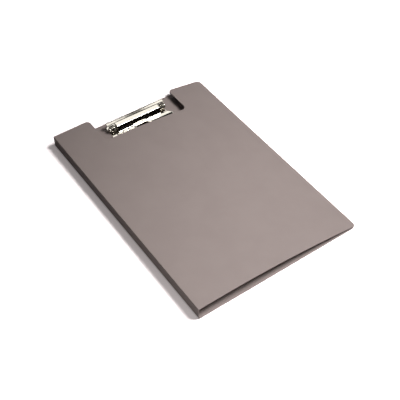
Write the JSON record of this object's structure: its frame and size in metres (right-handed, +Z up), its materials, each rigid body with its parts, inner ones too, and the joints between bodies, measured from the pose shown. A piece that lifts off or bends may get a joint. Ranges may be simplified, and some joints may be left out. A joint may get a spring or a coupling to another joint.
{
  "type": "clipboard folder",
  "caption": "A4 clipboard folder: creased plastic back board, spine and notched front cover, with a sprung metal lever clip riveted to the board.",
  "frame": {"origin": "centre of the underside, as a box round the closed folder", "axes": "+X from the spine to the free edges, +Y from the bottom edge to the edge with the clip, +Z up through the front cover"},
  "size_m": [0.2224, 0.318, 0.0188],
  "materials": {
    "polypropylene": "fine matt grain, warm grey",
    "nickel_plate": "bright nickel plate",
    "spring_steel": "bright drawn wire"
  },
  "bodies": {
    "back": {"back_board": "polypropylene", "back_crease": "polypropylene", "clip_base_plate": "nickel_plate", "rivet_left": "nickel_plate", "rivet_right": "nickel_plate", "pivot_rod": "nickel_plate", "torsion_spring_left": "spring_steel", "torsion_spring_right": "spring_steel"},
    "spine": {"spine_panel": "polypropylene", "cover_crease": "polypropylene"},
    "cover": {"front_cover": "polypropylene"},
    "lever": {"clip_lever": "nickel_plate"}
  },
  "joints": [
    {"name": "spine_fold", "type": "hinge", "parent": "back", "child": "spine", "pos_m": [-0.11055, 0, 0.0007], "axis": [0, -1, 0], "range_deg": [0, 180]},
    {"name": "cover_fold", "type": "hinge", "parent": "spine", "child": "cover", "pos_m": [-0.11055, 0, 0.0176], "axis": [0, -1, 0], "range_deg": [0, 180]},
    {"name": "clip_pivot", "type": "hinge", "parent": "back", "child": "lever", "pos_m": [0, 0.1405, 0.00675], "axis": [-1, 0, 0], "range_deg": [0, 28], "stiffness_Nm_per_rad": 0.25, "springref_deg": -51.57, "deforming": ["torsion_spring_left", "torsion_spring_right"]}
  ]
}
